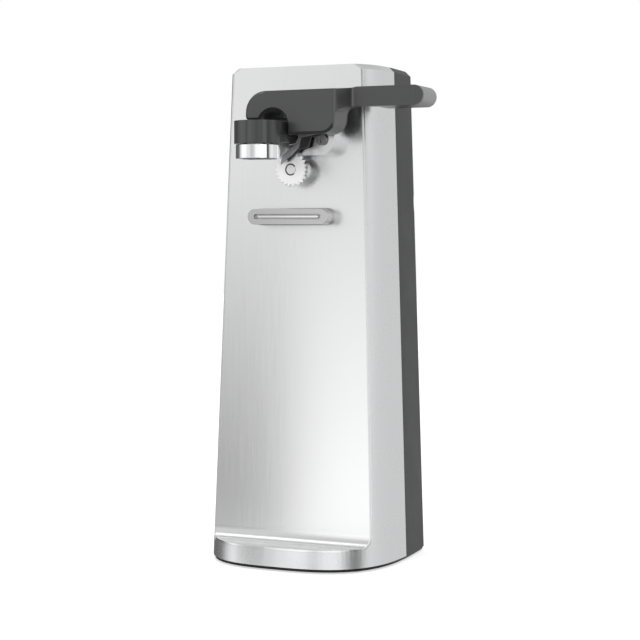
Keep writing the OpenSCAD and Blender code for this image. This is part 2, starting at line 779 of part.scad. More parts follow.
module cutter_support() color("#2c2d2f") in_frame() difference() {
    sheet(blade_y + blade_t, support_t) polygon([tip + [3, 1.3], tip + [3.6, 5], tip + [8.8, 9.6],
        tip + [9.5, 21], tip + [24, 21], tip + [24, 15.2], tip + [15.4, 13], tip + [14.2, 8.4],
        tip + [9.8, 7.4]]);
    for (p = cutter_spots) rod(p, -40, 80, 1.3);
}

module cutter_screws() color("darkgray") in_frame() for (p = cutter_spots)
    screw(p, lever_plate_y, blade_y + blade_t + support_t - lever_plate_y, 1.15, 2.1, 1.3);

// ---------- magnet ----------

magnet_p = [magnet_x, magnet_y];
holder_z = magnet_z + cup_h + 0.4;
holder_top = 220.8;
arm_left = arch_x - 3;
arm_right = arch_x + arch_r - 1.4;
knuckle_r = 2.6;

// Holder seen from above: round, with a shallow hollow in its front.
module holder_plan() offset(r = 2.5) offset(delta = -2.5) difference() {
    circle(cup_r + holder_wall);
    rotate(16) translate([0, -cup_r - 7.4]) circle(8);
}

module magnet_arm() color("#4a4c4f") in_frame() difference() {
    union() {
        translate([magnet_x, magnet_y, holder_z]) linear_extrude(holder_top - holder_z) holder_plan();
        translate([arm_left, magnet_y + 4, holder_z + 1])
            cube([arm_right - arm_left, hinge_y - magnet_y - 5, holder_top - holder_z - 1]);
        magnet_knuckle();
    }
    translate([magnet_x, magnet_y, holder_z - 1]) cylinder(h = 4, r = cup_r - 4);
    magnet_hinge(80, hinge_r + run_gap);
}

module magnet_knuckle() translate([arm_left, hinge_y, hinge_z]) rotate([0, 90, 0])
    cylinder(h = arm_right - arm_left, r = knuckle_r);

module magnet_pin() color("silver") in_frame() magnet_hinge(2 * arch_r + 3, hinge_r);

module magnet_cup() color("white") in_frame() translate([magnet_x, magnet_y, magnet_z]) {
    difference() {
        cylinder(h = cup_h, r = cup_r);
        translate([0, 0, -1]) cylinder(h = 5.4, r = cup_r - 1.4);
    }
    translate([0, 0, cup_h - 0.01]) cylinder(h = 2.5, r = cup_r - 4.1);
}

module magnet_disc() color("#3a3a3c") in_frame() translate([magnet_x, magnet_y, magnet_z + 0.3])
    cylinder(h = 4, r = cup_r - 1.6);

// ---------- switch and wiring ----------

switch_x = pivot_x - switch_reach;
plunger_z = pivot_z + 1.6 + switch_gap;
switch_z = plunger_z + travel + 1.2;
switch_y = front_plate_y + steel_t;
switch_spots = [[switch_x - 2.8, switch_z + 3.6], [switch_x + 8.2, switch_z + 3.6]];

module micro_switch() color("black") in_frame() difference() {
    translate([switch_x - 5, switch_y, switch_z]) cube([15.6, 6, 6]);
    translate([switch_x - 1.3, switch_y + 1.2, switch_z - 1]) cube([2.6, 2.6, 1 + travel + 1.2]);
    for (p = switch_spots) rod(p, 0, 40, 1.15);
}

module switch_plunger() color("red") in_frame()
    translate([switch_x - 1.2, switch_y + 1.3, plunger_z]) cube([2.4, 2.4, travel + 2]);

module switch_screws() color("darkgray") in_frame() for (p = switch_spots)
    screw(p, switch_y + 6, 7.5, 1.05, 1.9, 1.2, true);

module terminal_block() color("ivory") in_frame() difference() {
    translate([-12, 40, skirt_z]) cube([24, 12, 11]);
    for (x = [-6, 6]) translate([x, 46, skirt_z + 5]) cylinder(h = 10, r = 1.8);
}

module cord_gland() color("#202020") in_frame() difference() {
    union() {
        rod([gland_x, gland_z], gland_y - 6, 7, gland_r - 0.1);
        rod([gland_x, gland_z], gland_y, gland_lip, gland_r + 1.5);
        rod([gland_x, gland_z], gland_y - wall - 2.7, 2.4, gland_r + 1.5);
    }
    rod([gland_x, gland_z], 0, 100, 3.3);
}

front_shell();
rear_cover();
front_plate();
base_plate();
rubber_feet();
base_screws();
housing_screws();
can_rest();
can_rest_bar();
can_rest_screws();
hub_housing();
hub_screws();
spindle_bush();
lever_bush();
front_gear_plate();
rear_gear_plate();
plate_pillars();
plate_screws();
gear_axles();
axle_clips();
drive_spindle();
drive_wheel();
output_gear();
intermediate_gear();
first_gear();
motor_pinion();
motor_shaft();
rotor();
motor_spacers();
stator();
shading_rings();
coil_bobbin();
motor_coil();
rear_bracket();
motor_bearings();
motor_screws();
lever_cover();
handle_grip();
lever_plate();
lever_pin();
lever_clip();
lever_screws();
switch_arm();
cutter_blade();
cutter_support();
cutter_screws();
magnet_arm();
magnet_pin();
magnet_cup();
magnet_disc();
micro_switch();
switch_plunger();
switch_screws();
terminal_block();
cord_gland();
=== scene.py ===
"""An electric can opener: tapered column, leaning steel front, toothed wheel, hinged lever."""
import math

import bpy
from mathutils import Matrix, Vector


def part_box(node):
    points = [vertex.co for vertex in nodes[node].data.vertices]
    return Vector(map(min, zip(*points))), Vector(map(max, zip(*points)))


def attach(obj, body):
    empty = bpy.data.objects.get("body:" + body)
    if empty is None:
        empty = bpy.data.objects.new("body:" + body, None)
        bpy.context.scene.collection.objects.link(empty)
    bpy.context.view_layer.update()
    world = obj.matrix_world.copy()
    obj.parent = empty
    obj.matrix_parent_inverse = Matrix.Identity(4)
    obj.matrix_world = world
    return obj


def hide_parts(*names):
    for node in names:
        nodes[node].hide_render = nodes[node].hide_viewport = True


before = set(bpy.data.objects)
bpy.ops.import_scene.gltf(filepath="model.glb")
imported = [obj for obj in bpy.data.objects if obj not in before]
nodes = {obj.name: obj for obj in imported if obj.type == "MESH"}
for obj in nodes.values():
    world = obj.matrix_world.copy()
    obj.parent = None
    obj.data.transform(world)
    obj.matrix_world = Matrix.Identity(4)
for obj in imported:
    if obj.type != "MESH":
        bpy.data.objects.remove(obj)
bpy.ops.object.select_all(action="DESELECT")
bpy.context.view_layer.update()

# ---------------------------------------------------------------------------
# Camera: a long lens, well back and to the right of the front, a little above
# the middle of the column.
column_low, column_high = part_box("front_shell")
column_mid = (column_low.x + column_high.x) / 2
camera_azimuth = math.radians(23.6)
camera_pitch = math.radians(3.0)
camera_distance = 0.856
camera_height = 0.1697
turning_point = Vector((column_mid, column_low.y + 0.0451, 0))
place = turning_point + Vector((camera_distance * math.sin(camera_azimuth),
                                -camera_distance * math.cos(camera_azimuth), camera_height))
bpy.ops.object.camera_add(location=place,
                          rotation=(math.radians(90) - camera_pitch, 0, camera_azimuth))
camera = bpy.context.object
camera.data.lens = 93.84
camera.data.shift_x = 0.0132
camera.data.shift_y = -0.0089
bpy.context.scene.camera = camera
bpy.context.scene.view_settings.view_transform = "Standard"

# ---------------------------------------------------------------------------
# Studio: a white floor that runs out into a white room. White and grey screens
# stand round the room and reach below the table's edge, so that the chrome and
# the satin metal mirror soft bands; the floor itself isn't mirrored.
bpy.ops.mesh.primitive_plane_add(size=6, location=(0, 0, 0))
floor = bpy.context.object
floor.name = "studio_floor"
floor_paint = bpy.data.materials.new("pale_floor")
floor_paint.use_nodes = True
floor_shader = floor_paint.node_tree.nodes["Principled BSDF"]
floor_shader.inputs["Base Color"].default_value = (0.9, 0.9, 0.9, 1)
floor_shader.inputs["Roughness"].default_value = 0.7
floor_shader.inputs["Specular IOR Level"].default_value = 0.0
floor_shader.inputs["Emission Color"].default_value = (1, 1, 1, 1)
floor_links = floor_paint.node_tree.links
straight = floor_paint.node_tree.nodes.new("ShaderNodeLightPath")
lift = floor_paint.node_tree.nodes.new("ShaderNodeMath")
lift.operation = "MULTIPLY"
lift.inputs[1].default_value = 0.55
floor_links.new(straight.outputs["Is Camera Ray"], lift.inputs[0])
floor_links.new(lift.outputs[0], floor_shader.inputs["Emission Strength"])
open_floor = floor_paint.node_tree.nodes.new("ShaderNodeBsdfTransparent")
either = floor_paint.node_tree.nodes.new("ShaderNodeMixShader")
floor_links.new(straight.outputs["Is Glossy Ray"], either.inputs[0])
floor_links.new(floor_shader.outputs[0], either.inputs[1])
floor_links.new(open_floor.outputs[0], either.inputs[2])
floor_links.new(either.outputs[0], floor_paint.node_tree.nodes["Material Output"].inputs[0])
floor.data.materials.append(floor_paint)

room = bpy.data.worlds.new("white_room")
bpy.context.scene.world = room
room.use_nodes = True
room_nodes = room.node_tree.nodes
room_links = room.node_tree.links
direction = room_nodes.new("ShaderNodeTexCoord")
apart = room_nodes.new("ShaderNodeSeparateXYZ")
to_front = room_nodes.new("ShaderNodeMath")
to_front.operation = "MULTIPLY"
to_front.inputs[1].default_value = -1
heading = room_nodes.new("ShaderNodeMath")
heading.operation = "ARCTAN2"
whole_turn = room_nodes.new("ShaderNodeMapRange")
whole_turn.inputs["From Min"].default_value = -math.pi
whole_turn.inputs["From Max"].default_value = math.pi
screens = room_nodes.new("ShaderNodeValToRGB")
screens.color_ramp.interpolation = "EASE"
# heading in degrees, 0 at the front and 90 at the right, and its brightness
SCREENS = [(-180, 0.8), (-152, 0.3), (-128, 0.12), (-92, 0.18), (-76, 0.9), (-62, 1.4),
           (-44, 1.4), (-32, 1.08), (-22, 0.98), (-9, 0.7), (2, 0.85), (14, 1.3), (38, 1.35),
           (56, 0.7), (66, 0.16), (78, 0.14), (88, 0.95), (98, 1.12), (116, 0.92),
           (140, 0.88), (180, 0.8)]
stops = screens.color_ramp.elements
while len(stops) < len(SCREENS):
    stops.new(0.5)
for stop, (angle, bright) in zip(stops, SCREENS):
    stop.position = (angle + 180) / 360
    stop.color = (bright, bright, bright, 1)
overhead = room_nodes.new("ShaderNodeMapRange")
overhead.interpolation_type = "SMOOTHSTEP"
overhead.inputs["From Min"].default_value = 0.25
overhead.inputs["From Max"].default_value = 0.75
underfoot = room_nodes.new("ShaderNodeMapRange")
underfoot.interpolation_type = "SMOOTHSTEP"
underfoot.inputs["From Min"].default_value = -0.32
underfoot.inputs["From Max"].default_value = -0.6
dark_floor = room_nodes.new("ShaderNodeMix")
dark_floor.data_type = "RGBA"
dark_floor.inputs[7].default_value = (0.06, 0.06, 0.06, 1)
ceiling = room_nodes.new("ShaderNodeMix")
ceiling.data_type = "RGBA"
ceiling.inputs[7].default_value = (0.72, 0.72, 0.72, 1)
seen = room_nodes.new("ShaderNodeLightPath")
backdrop = room_nodes.new("ShaderNodeMix")
backdrop.data_type = "RGBA"
backdrop.inputs[7].default_value = (1, 1, 1, 1)
glow = room_nodes["Background"]
room_links.new(direction.outputs["Generated"], apart.inputs[0])
room_links.new(apart.outputs["Y"], to_front.inputs[0])
room_links.new(apart.outputs["X"], heading.inputs[0])
room_links.new(to_front.outputs[0], heading.inputs[1])
room_links.new(heading.outputs[0], whole_turn.inputs["Value"])
room_links.new(whole_turn.outputs[0], screens.inputs["Fac"])
room_links.new(apart.outputs["Z"], overhead.inputs["Value"])
room_links.new(overhead.outputs[0], ceiling.inputs[0])
room_links.new(apart.outputs["Z"], underfoot.inputs["Value"])
room_links.new(underfoot.outputs[0], dark_floor.inputs[0])
room_links.new(screens.outputs["Color"], dark_floor.inputs[6])
room_links.new(dark_floor.outputs[2], ceiling.inputs[6])
room_links.new(seen.outputs["Is Camera Ray"], backdrop.inputs[0])
room_links.new(ceiling.outputs[2], backdrop.inputs[6])
room_links.new(backdrop.outputs[2], glow.inputs["Color"])


def soft_box(name, azimuth, height, distance, width, tall, watts):
    """A soft box on a stand, turned to the column."""
    turn = math.radians(azimuth)
    spot = Vector((distance * math.sin(turn), -distance * math.cos(turn), height))
    bpy.ops.object.light_add(type="AREA", location=spot)
    lamp = bpy.context.object
    lamp.name = name
    lamp.data.shape = "RECTANGLE"
    lamp.data.size = width
    lamp.data.size_y = tall
    lamp.data.energy = watts
    aim = Vector((0, 0, 0.12)) - spot
    lamp.rotation_euler = aim.to_track_quat("-Z", "Y").to_euler()


soft_box("key_box", -58, 0.75, 1.1, 0.7, 0.7, 0.25)
soft_box("top_box", -90, 1.33, 0.49, 0.6, 0.6, 1.4)


def reflector(name, left, right, bottom, top, distance, bright, fade=0.0):
    """A card in front, clear of the camera, seen only by the metal; its top may fade."""
    bpy.ops.mesh.primitive_plane_add(size=1, location=((left + right) / 2, -distance,
                                                       (bottom + top) / 2),
                                     rotation=(math.radians(90), 0, 0))
    card = bpy.context.object
    card.name = name
    card.scale = (right - left, top - bottom, 1)
    board = bpy.data.materials.new(name)
    board.use_nodes = True
    parts = board.node_tree.nodes
    joins = board.node_tree.links
    parts.remove(parts["Principled BSDF"])
    lit = parts.new("ShaderNodeEmission")
    lit.inputs["Strength"].default_value = bright
    height = parts.new("ShaderNodeSeparateXYZ")
    joins.new(parts.new("ShaderNodeNewGeometry").outputs["Position"], height.inputs[0])
    thin = parts.new("ShaderNodeMapRange")
    thin.inputs["From Min"].default_value = top - fade
    thin.inputs["From Max"].default_value = top + 0.0001
    joins.new(height.outputs["Z"], thin.inputs["Value"])
    veil = parts.new("ShaderNodeMixShader")
    joins.new(thin.outputs[0], veil.inputs[0])
    joins.new(lit.outputs[0], veil.inputs[1])
    joins.new(parts.new("ShaderNodeBsdfTransparent").outputs[0], veil.inputs[2])
    joins.new(veil.outputs[0], parts["Material Output"].inputs[0])
    card.data.materials.append(board)
    card.visible_camera = card.visible_diffuse = card.visible_shadow = False


reflector("grey_card", -0.36, -0.115, -0.028, 0.23, 0.24, 0.44, 0.23)
reflector("white_card", -0.112, -0.005, -0.028, 0.22, 0.24, 1.5, 0.22)
reflector("side_card", 0.2, 0.7, 0.19, 0.34, 0.34, 1.9)

# ---------------------------------------------------------------------------
# Base plate: black polypropylene, moulded with a foot ring at each corner and
# screwed up into the shells; it shows as a thin dark skirt. Four soft rubber
# feet are pressed into it.


def finished_copy(node, name, edge=0.0003, steps=2, sharp=28, flat=0.05):
    """A finished copy of a part: joined faces, eased edges, clean shading."""
    bpy.ops.object.select_all(action="DESELECT")
    nodes[node].select_set(True)
    bpy.context.view_layer.objects.active = nodes[node]
    bpy.ops.object.duplicate()
    piece = bpy.context.object
    piece.name = piece.data.name = name
    piece.parent = None
    for key in list(piece.keys()):
        del piece[key]
    bpy.ops.object.mode_set(mode="EDIT")
    bpy.ops.mesh.select_all(action="SELECT")
    bpy.ops.mesh.remove_doubles(threshold=0.000004)
    bpy.ops.mesh.dissolve_limited(angle_limit=math.radians(flat))
    bpy.ops.object.mode_set(mode="OBJECT")
    if edge:
        ease = piece.modifiers.new("eased_edges", "BEVEL")
        ease.width = edge
        ease.segments = steps
        ease.limit_method = "ANGLE"
        ease.angle_limit = math.radians(sharp)
        bpy.ops.object.modifier_apply(modifier=ease.name)
    bpy.ops.object.shade_smooth_by_angle(angle=math.radians(35))
    even = piece.modifiers.new("even_shading", "WEIGHTED_NORMAL")
    even.keep_sharp = True
    bpy.ops.object.modifier_apply(modifier=even.name)
    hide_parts(node)
    return piece


def settle(piece, body, stuff):
    """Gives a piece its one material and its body."""
    piece.data.materials.clear()
    piece.data.materials.append(stuff)
    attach(piece, body)
    return piece


def coat(node, stuff):
    """A part whose moulded or turned shape stays gets its finish."""
    nodes[node].data.materials.clear()
    nodes[node].data.materials.append(stuff)


def effect(name, values, results):
    """An empty shader node group with named inputs and outputs."""
    group = bpy.data.node_groups.new(name, "ShaderNodeTree")
    for title, kind, start in values:
        socket = group.interface.new_socket(title, in_out="INPUT", socket_type=kind)
        if start is not None:
            socket.default_value = start
    for title, kind in results:
        group.interface.new_socket(title, in_out="OUTPUT", socket_type=kind)
    return group, group.nodes.new("NodeGroupInput"), group.nodes.new("NodeGroupOutput")


def sums(tree, operation, first, second, third=None):
    """A Math node on sockets or numbers; returns its output."""
    node = tree.nodes.new("ShaderNodeMath")
    node.operation = operation
    for place_in, value in enumerate((first, second, third)):
        if isinstance(value, (int, float)):
            node.inputs[place_in].default_value = value
        elif value is not None:
            tree.links.new(value, node.inputs[place_in])
    return node.outputs[0]


def noise(tree, vector, scale, detail=2.0, rough=0.5):
    """A Noise Texture on a vector; returns its value, about 0.5."""
    node = tree.nodes.new("ShaderNodeTexNoise")
    node.inputs["Scale"].default_value = scale
    node.inputs["Detail"].default_value = detail
    node.inputs["Roughness"].default_value = rough
    tree.links.new(vector, node.inputs["Vector"])
    return node.outputs["Fac"]


# Scuffs and painted edge highlight: edges are painted a lighter colour where the surface turns
# within a small radius. The colour stands both for scuffed edges and for a painted highlight along
# the edge, and it is broken up by noise.
edge_scuff_and_highlight, scuff_lit_in, scuff_lit_out = effect(
    "edge_scuff_and_highlight",
    [("Vector", "NodeSocketVector", None), ("Radius", "NodeSocketFloat", 0.0004)],
    [("Mask", "NodeSocketFloat")])
rounded = edge_scuff_and_highlight.nodes.new("ShaderNodeBevel")
rounded.samples = 4
edge_scuff_and_highlight.links.new(scuff_lit_in.outputs["Radius"], rounded.inputs["Radius"])
true_face = edge_scuff_and_highlight.nodes.new("ShaderNodeNewGeometry")
agree = edge_scuff_and_highlight.nodes.new("ShaderNodeVectorMath")
agree.operation = "DOT_PRODUCT"
edge_scuff_and_highlight.links.new(rounded.outputs[0], agree.inputs[0])
edge_scuff_and_highlight.links.new(true_face.outputs["Normal"], agree.inputs[1])
# mask of the edges that get the painted highlight and scuff colour
turned = edge_scuff_and_highlight.nodes.new("ShaderNodeMapRange")
turned.inputs["From Min"].default_value = 0.97
turned.inputs["From Max"].default_value = 0.86
edge_scuff_and_highlight.links.new(agree.outputs["Value"], turned.inputs["Value"])
patchy = noise(edge_scuff_and_highlight, scuff_lit_in.outputs["Vector"], 260, 3)
patchy = sums(edge_scuff_and_highlight, "MULTIPLY_ADD", patchy, 1.5, 0.1)
edge_scuff_and_highlight.links.new(sums(edge_scuff_and_highlight, "MULTIPLY", turned.outputs[0], patchy), scuff_lit_out.inputs[0])

# Moulded grain: the fine spark-eroded texture of a mould, with slow changes of
# shade and gloss where hands and cloths have been.
moulded_grain, grain_in, grain_out = effect(
    "moulded_grain",
    [("Vector", "NodeSocketVector", None), ("Grains", "NodeSocketFloat", 2600.0),
     ("Variation", "NodeSocketFloat", 0.1)],
    [("Height", "NodeSocketFloat"), ("Shade", "NodeSocketFloat"), ("Gloss", "NodeSocketFloat")])
pits = moulded_grain.nodes.new("ShaderNodeTexVoronoi")
pits.feature = "SMOOTH_F1"
moulded_grain.links.new(grain_in.outputs["Vector"], pits.inputs["Vector"])
moulded_grain.links.new(grain_in.outputs["Grains"], pits.inputs["Scale"])
speckle = noise(moulded_grain, grain_in.outputs["Vector"], 5200, 2)
moulded_grain.links.new(sums(moulded_grain, "MULTIPLY_ADD", speckle, 0.5, pits.outputs["Distance"]),
                        grain_out.inputs["Height"])
slow = noise(moulded_grain, grain_in.outputs["Vector"], 38, 4, 0.6)
spread = sums(moulded_grain, "SUBTRACT", slow, 0.5)
swing = sums(moulded_grain, "MULTIPLY", spread, grain_in.outputs["Variation"])
tone = sums(moulded_grain, "MULTIPLY_ADD", speckle, 0.12, 0.94)
moulded_grain.links.new(sums(moulded_grain, "ADD", swing, tone), grain_out.inputs["Shade"])
moulded_grain.links.new(sums(moulded_grain, "MULTIPLY", swing, 1.6), grain_out.inputs["Gloss"])


def fitted_effect(tree, group, vector, **values):
    """Places an effect in a material, on a vector, with its own values."""
    node = tree.nodes.new("ShaderNodeGroup")
    node.node_tree = group
    tree.links.new(vector, node.inputs["Vector"])
    for title, value in values.items():
        node.inputs[title].default_value = value
    return node


def finish(name, colour, roughness, metallic, relief, spread, scuffed_lit_colour, scuff_and_highlight_share, effect_node):
    """Joins an effect's shade, gloss and height and the lighter edge colour, for scuffs and a
    painted edge highlight, to a new shader.

    effect_node is a function that adds the surface effect to the tree and returns it."""
    stuff = bpy.data.materials.new(name)
    stuff.use_nodes = True
    tree = stuff.node_tree
    shader = tree.nodes["Principled BSDF"]
    shader.inputs["Metallic"].default_value = metallic
    where = tree.nodes.new("ShaderNodeTexCoord").outputs["Object"]
    marks = effect_node(tree, where)
    scuff_and_highlight = fitted_effect(tree, edge_scuff_and_highlight, where, Radius=spread)
    shaded = tree.nodes.new("ShaderNodeMix")
    shaded.data_type = "RGBA"
    shaded.blend_type = "MULTIPLY"
    shaded.inputs[0].default_value = 1
    shaded.inputs[6].default_value = (*colour, 1)
    tree.links.new(marks.outputs["Shade"], shaded.inputs[7])
    # the edges are painted the lighter colour: scuffs and a painted edge highlight
    scuffed_and_lit = tree.nodes.new("ShaderNodeMix")
    scuffed_and_lit.data_type = "RGBA"
    scuffed_and_lit.inputs[7].default_value = (*scuffed_lit_colour, 1)
    tree.links.new(sums(tree, "MULTIPLY", scuff_and_highlight.outputs["Mask"], scuff_and_highlight_share), scuffed_and_lit.inputs[0])
    tree.links.new(shaded.outputs[2], scuffed_and_lit.inputs[6])
    tree.links.new(scuffed_and_lit.outputs[2], shader.inputs["Base Color"])
    tree.links.new(sums(tree, "ADD", marks.outputs["Gloss"], roughness),
                   shader.inputs["Roughness"])
    bump = tree.nodes.new("ShaderNodeBump")
    bump.inputs["Strength"].default_value = 1
    bump.inputs["Distance"].default_value = relief
    tree.links.new(marks.outputs["Height"], bump.inputs["Height"])
    tree.links.new(bump.outputs[0], shader.inputs["Normal"])
    return stuff


def moulded(name, colour, roughness, scuffed_lit_colour, grains=2600.0, relief=0.00001, metallic=0.0,
            variation=0.12, scuff_and_highlight_share=0.5, spread=0.0004):
    """A moulded plastic or cast finish: fine grain, slow patches, edges painted lighter for scuffs
    and a painted highlight.
    """
    def grain(tree, where):
        return fitted_effect(tree, moulded_grain, where, Grains=grains, Variation=variation)
    return finish(name, colour, roughness, metallic, relief, spread, scuffed_lit_colour, scuff_and_highlight_share, grain)


black_plastic = moulded("black_plastic", (0.022, 0.022, 0.023), 0.5, (0.07, 0.07, 0.07))
rubber = moulded("soft_rubber", (0.012, 0.012, 0.012), 0.75, (0.03, 0.03, 0.03), 1800.0, 0.00002)
skirt = finished_copy("base_plate", "moulded_base", 0.00025)
settle(skirt, "column", black_plastic)
pads = finished_copy("rubber_feet", "rubber_pads", 0.0004, 3)
settle(pads, "column", rubber)

# ---------------------------------------------------------------------------
# Front shell: one ABS moulding that wraps the front and both sides, sprayed
# in a satin silver lacquer with fine metal flake. The rear cover screws to it.
flake, flake_in, flake_out = effect(
    "metal_flake",
    [("Vector", "NodeSocketVector", None), ("Sparkle", "NodeSocketFloat", 0.1)],
    [("Height", "NodeSocketFloat"), ("Shade", "NodeSocketFloat"), ("Gloss", "NodeSocketFloat")])
flakes = flake.nodes.new("ShaderNodeTexVoronoi")
flakes.inputs["Scale"].default_value = 7000
flake.links.new(flake_in.outputs["Vector"], flakes.inputs["Vector"])
glint = flake.nodes.new("ShaderNodeSeparateColor")
flake.links.new(flakes.outputs["Color"], glint.inputs[0])
bright = sums(flake, "SUBTRACT", glint.outputs["Red"], 0.5)
bright = sums(flake, "MULTIPLY", bright, flake_in.outputs["Sparkle"])
cloud = sums(flake, "MULTIPLY_ADD", noise(flake, flake_in.outputs["Vector"], 22, 3), 0.03, 0.985)
flake.links.new(sums(flake, "ADD", bright, cloud), flake_out.inputs["Shade"])
orange_peel = noise(flake, flake_in.outputs["Vector"], 300, 0)
flake.links.new(sums(flake, "MULTIPLY_ADD", bright, 0.1, orange_peel), flake_out.inputs["Height"])
smudge = sums(flake, "SUBTRACT", noise(flake, flake_in.outputs["Vector"], 45, 4, 0.65), 0.5)
flake.links.new(sums(flake, "MULTIPLY", smudge, 0.08), flake_out.inputs["Gloss"])

silver_lacquer = finish(
    "silver_lacquer", (0.66, 0.665, 0.67), 0.27, 0.9, 0.000001, 0.0006, (0.78, 0.78, 0.78), 0.0,
    lambda tree, where: fitted_effect(tree, flake, where, Sparkle=0.012))
shell = finished_copy("front_shell", "lacquered_shell", 0.0006, 3)
settle(shell, "column", silver_lacquer)

# ---------------------------------------------------------------------------
# Front plate: a sheet of stainless steel, brushed up and down, bent forward
# over the step at its foot and bonded to the front of the shell.
brush_marks, brush_in, brush_out = effect(
    "brush_marks",
    [("Vector", "NodeSocketVector", None), ("Contrast", "NodeSocketFloat", 0.1)],
    [("Height", "NodeSocketFloat"), ("Shade", "NodeSocketFloat"), ("Gloss", "NodeSocketFloat")])
hair = noise(brush_marks, brush_in.outputs["Vector"], 1.0, 3, 0.6)
band = noise(brush_marks, brush_in.outputs["Vector"], 0.22, 2)
both = sums(brush_marks, "ADD", hair, band)
both = sums(brush_marks, "SUBTRACT", both, 1.0)
swing = sums(brush_marks, "MULTIPLY", both, brush_in.outputs["Contrast"])
brush_marks.links.new(sums(brush_marks, "ADD", swing, 1.0), brush_out.inputs["Shade"])
brush_marks.links.new(hair, brush_out.inputs["Height"])
brush_marks.links.new(sums(brush_marks, "MULTIPLY", both, 0.06), brush_out.inputs["Gloss"])


def brushed(name, colour, roughness, lines, contrast=0.16, relief=0.000006, scuff_and_highlight_share=0.5,
            spread=0.0004):
    """Brushed metal; lines gives the marks per metre along X, Y and Z."""
    def strokes(tree, where):
        stretch = tree.nodes.new("ShaderNodeMapping")
        stretch.inputs["Scale"].default_value = lines
        tree.links.new(where, stretch.inputs["Vector"])
        return fitted_effect(tree, brush_marks, stretch.outputs[0], Contrast=contrast)
    # the edges of brushed metal are painted this lighter colour: scuffs and a painted edge
    # highlight
    light = tuple(min(1, c * 1.2) for c in colour)
    return finish(name, colour, roughness, 1.0, relief, spread, light, scuff_and_highlight_share, strokes)


brushed_steel = brushed("brushed_steel", (0.74, 0.742, 0.745), 0.24, (5200, 5200, 30), 0.05,
                        0.0000015)
fascia = finished_copy("front_plate", "brushed_front", 0.00018, 2)
settle(fascia, "column", brushed_steel)

# ---------------------------------------------------------------------------
# Rear cover: graphite ABS with a satin mould texture, slotted low down for
# cooling, with a hollow across its back and the cord's gland at its foot.
graphite = moulded("graphite_plastic", (0.034, 0.035, 0.036), 0.5, (0.08, 0.08, 0.082))
graphite.node_tree.nodes["Principled BSDF"].inputs["IOR"].default_value = 1.4
back = finished_copy("rear_cover", "textured_rear_cover", 0.0005, 3)
settle(back, "column", graphite)
sleeve = finished_copy("cord_gland", "gland_sleeve", 0.0005, 3)
settle(sleeve, "column", black_plastic)

# ---------------------------------------------------------------------------
# Gear frame: two zinc-plated steel plates, pillars and axles, screwed
# together and hung on the bosses behind the front.
zinc = moulded("zinc_plate", (0.55, 0.56, 0.57), 0.34, (0.7, 0.7, 0.7), 900.0, 0.000006, 1.0, 0.3)
pin_steel = brushed("ground_steel", (0.7, 0.7, 0.7), 0.22, (300, 2500, 300), 0.08)
spring_steel = moulded("blued_spring_steel", (0.12, 0.12, 0.13), 0.3, (0.35, 0.35, 0.36),
                       1500.0, 0.000004, 1.0)
screw_steel = moulded("blacked_screws", (0.2, 0.2, 0.205), 0.33, (0.5, 0.5, 0.5), 2000.0,
                      0.000004, 1.0)
for node in ("front_gear_plate", "rear_gear_plate", "rear_bracket", "lever_plate", "switch_arm"):
    coat(node, zinc)
for node in ("plate_pillars", "gear_axles", "motor_shaft", "motor_spacers", "lever_pin",
             "magnet_pin"):
    coat(node, pin_steel)
for node in ("axle_clips", "lever_clip"):
    coat(node, spring_steel)
for node in ("plate_screws", "motor_screws", "switch_screws", "can_rest_screws",
             "lever_screws", "cutter_screws"):
    coat(node, screw_steel)

# ---------------------------------------------------------------------------
# Bushes: the lever and the motor run in sintered bronze soaked in oil; the
# drive spindle runs in a hardened steel bush that shows behind the wheel.
bronze = moulded("oiled_bronze", (0.36, 0.27, 0.16), 0.42, (0.5, 0.4, 0.25), 1900.0, 0.00001, 1.0)
for node in ("lever_bush", "motor_bearings"):
    coat(node, bronze)
coat("spindle_bush", pin_steel)

# ---------------------------------------------------------------------------
# Gears: three moulded nylon gears step the motor down, driven by a hobbed
# brass pinion on the motor's shaft.
nylon = moulded("gear_nylon", (0.76, 0.73, 0.64), 0.42, (0.82, 0.8, 0.72), 1400.0, 0.000008)
brass = brushed("pinion_brass", (0.72, 0.52, 0.22), 0.25, (1800, 30, 1800), 0.15)
for node in ("output_gear", "intermediate_gear", "first_gear"):
    coat(node, nylon)
coat("motor_pinion", brass)

# ---------------------------------------------------------------------------
# Motor: a shaded-pole motor. Its stack is pressed from thin steel sheets, and
# the coil is enamelled copper wound on a nylon bobbin.
lamination = brushed("stacked_sheets", (0.26, 0.26, 0.28), 0.4, (30, 2000, 30), 0.9, 0.00003)
copper = brushed("wound_copper", (0.62, 0.27, 0.13), 0.3, (20, 20, 1700), 0.5, 0.00006)
bobbin = moulded("bobbin_nylon", (0.74, 0.73, 0.68), 0.45, (0.8, 0.8, 0.76), 1400.0, 0.000008)
for node in ("stator", "rotor"):
    coat(node, lamination)
for node in ("motor_coil", "shading_rings"):
    coat(node, copper)
coat("coil_bobbin", bobbin)

# ---------------------------------------------------------------------------
# Switch and terminals: a sealed snap switch with a red button, pressed by the
# lever's arm, and the block where the supply is clamped.
button_red = moulded("button_red", (0.45, 0.03, 0.025), 0.32, (0.55, 0.1, 0.09))
coat("micro_switch", black_plastic)
coat("switch_plunger", button_red)
coat("terminal_block", bobbin)

# ---------------------------------------------------------------------------
# Hub housing: a zinc casting, polished and nickelled, over the spindle and the
# lever's pivot. Two screws hold it.
hub = finished_copy("hub_housing", "chromed_hub", 0.0007, 3)
hub_nickel = moulded("satin_nickel_hub", (0.6, 0.6, 0.605), 0.2, (0.85, 0.85, 0.85), 350.0,
                     0.0000015, 1.0, 0.08)
settle(hub, "column", hub_nickel)
hub_heads = finished_copy("hub_screws", "hub_screw_heads", 0.00015, 2)
settle(hub_heads, "column", screw_steel)

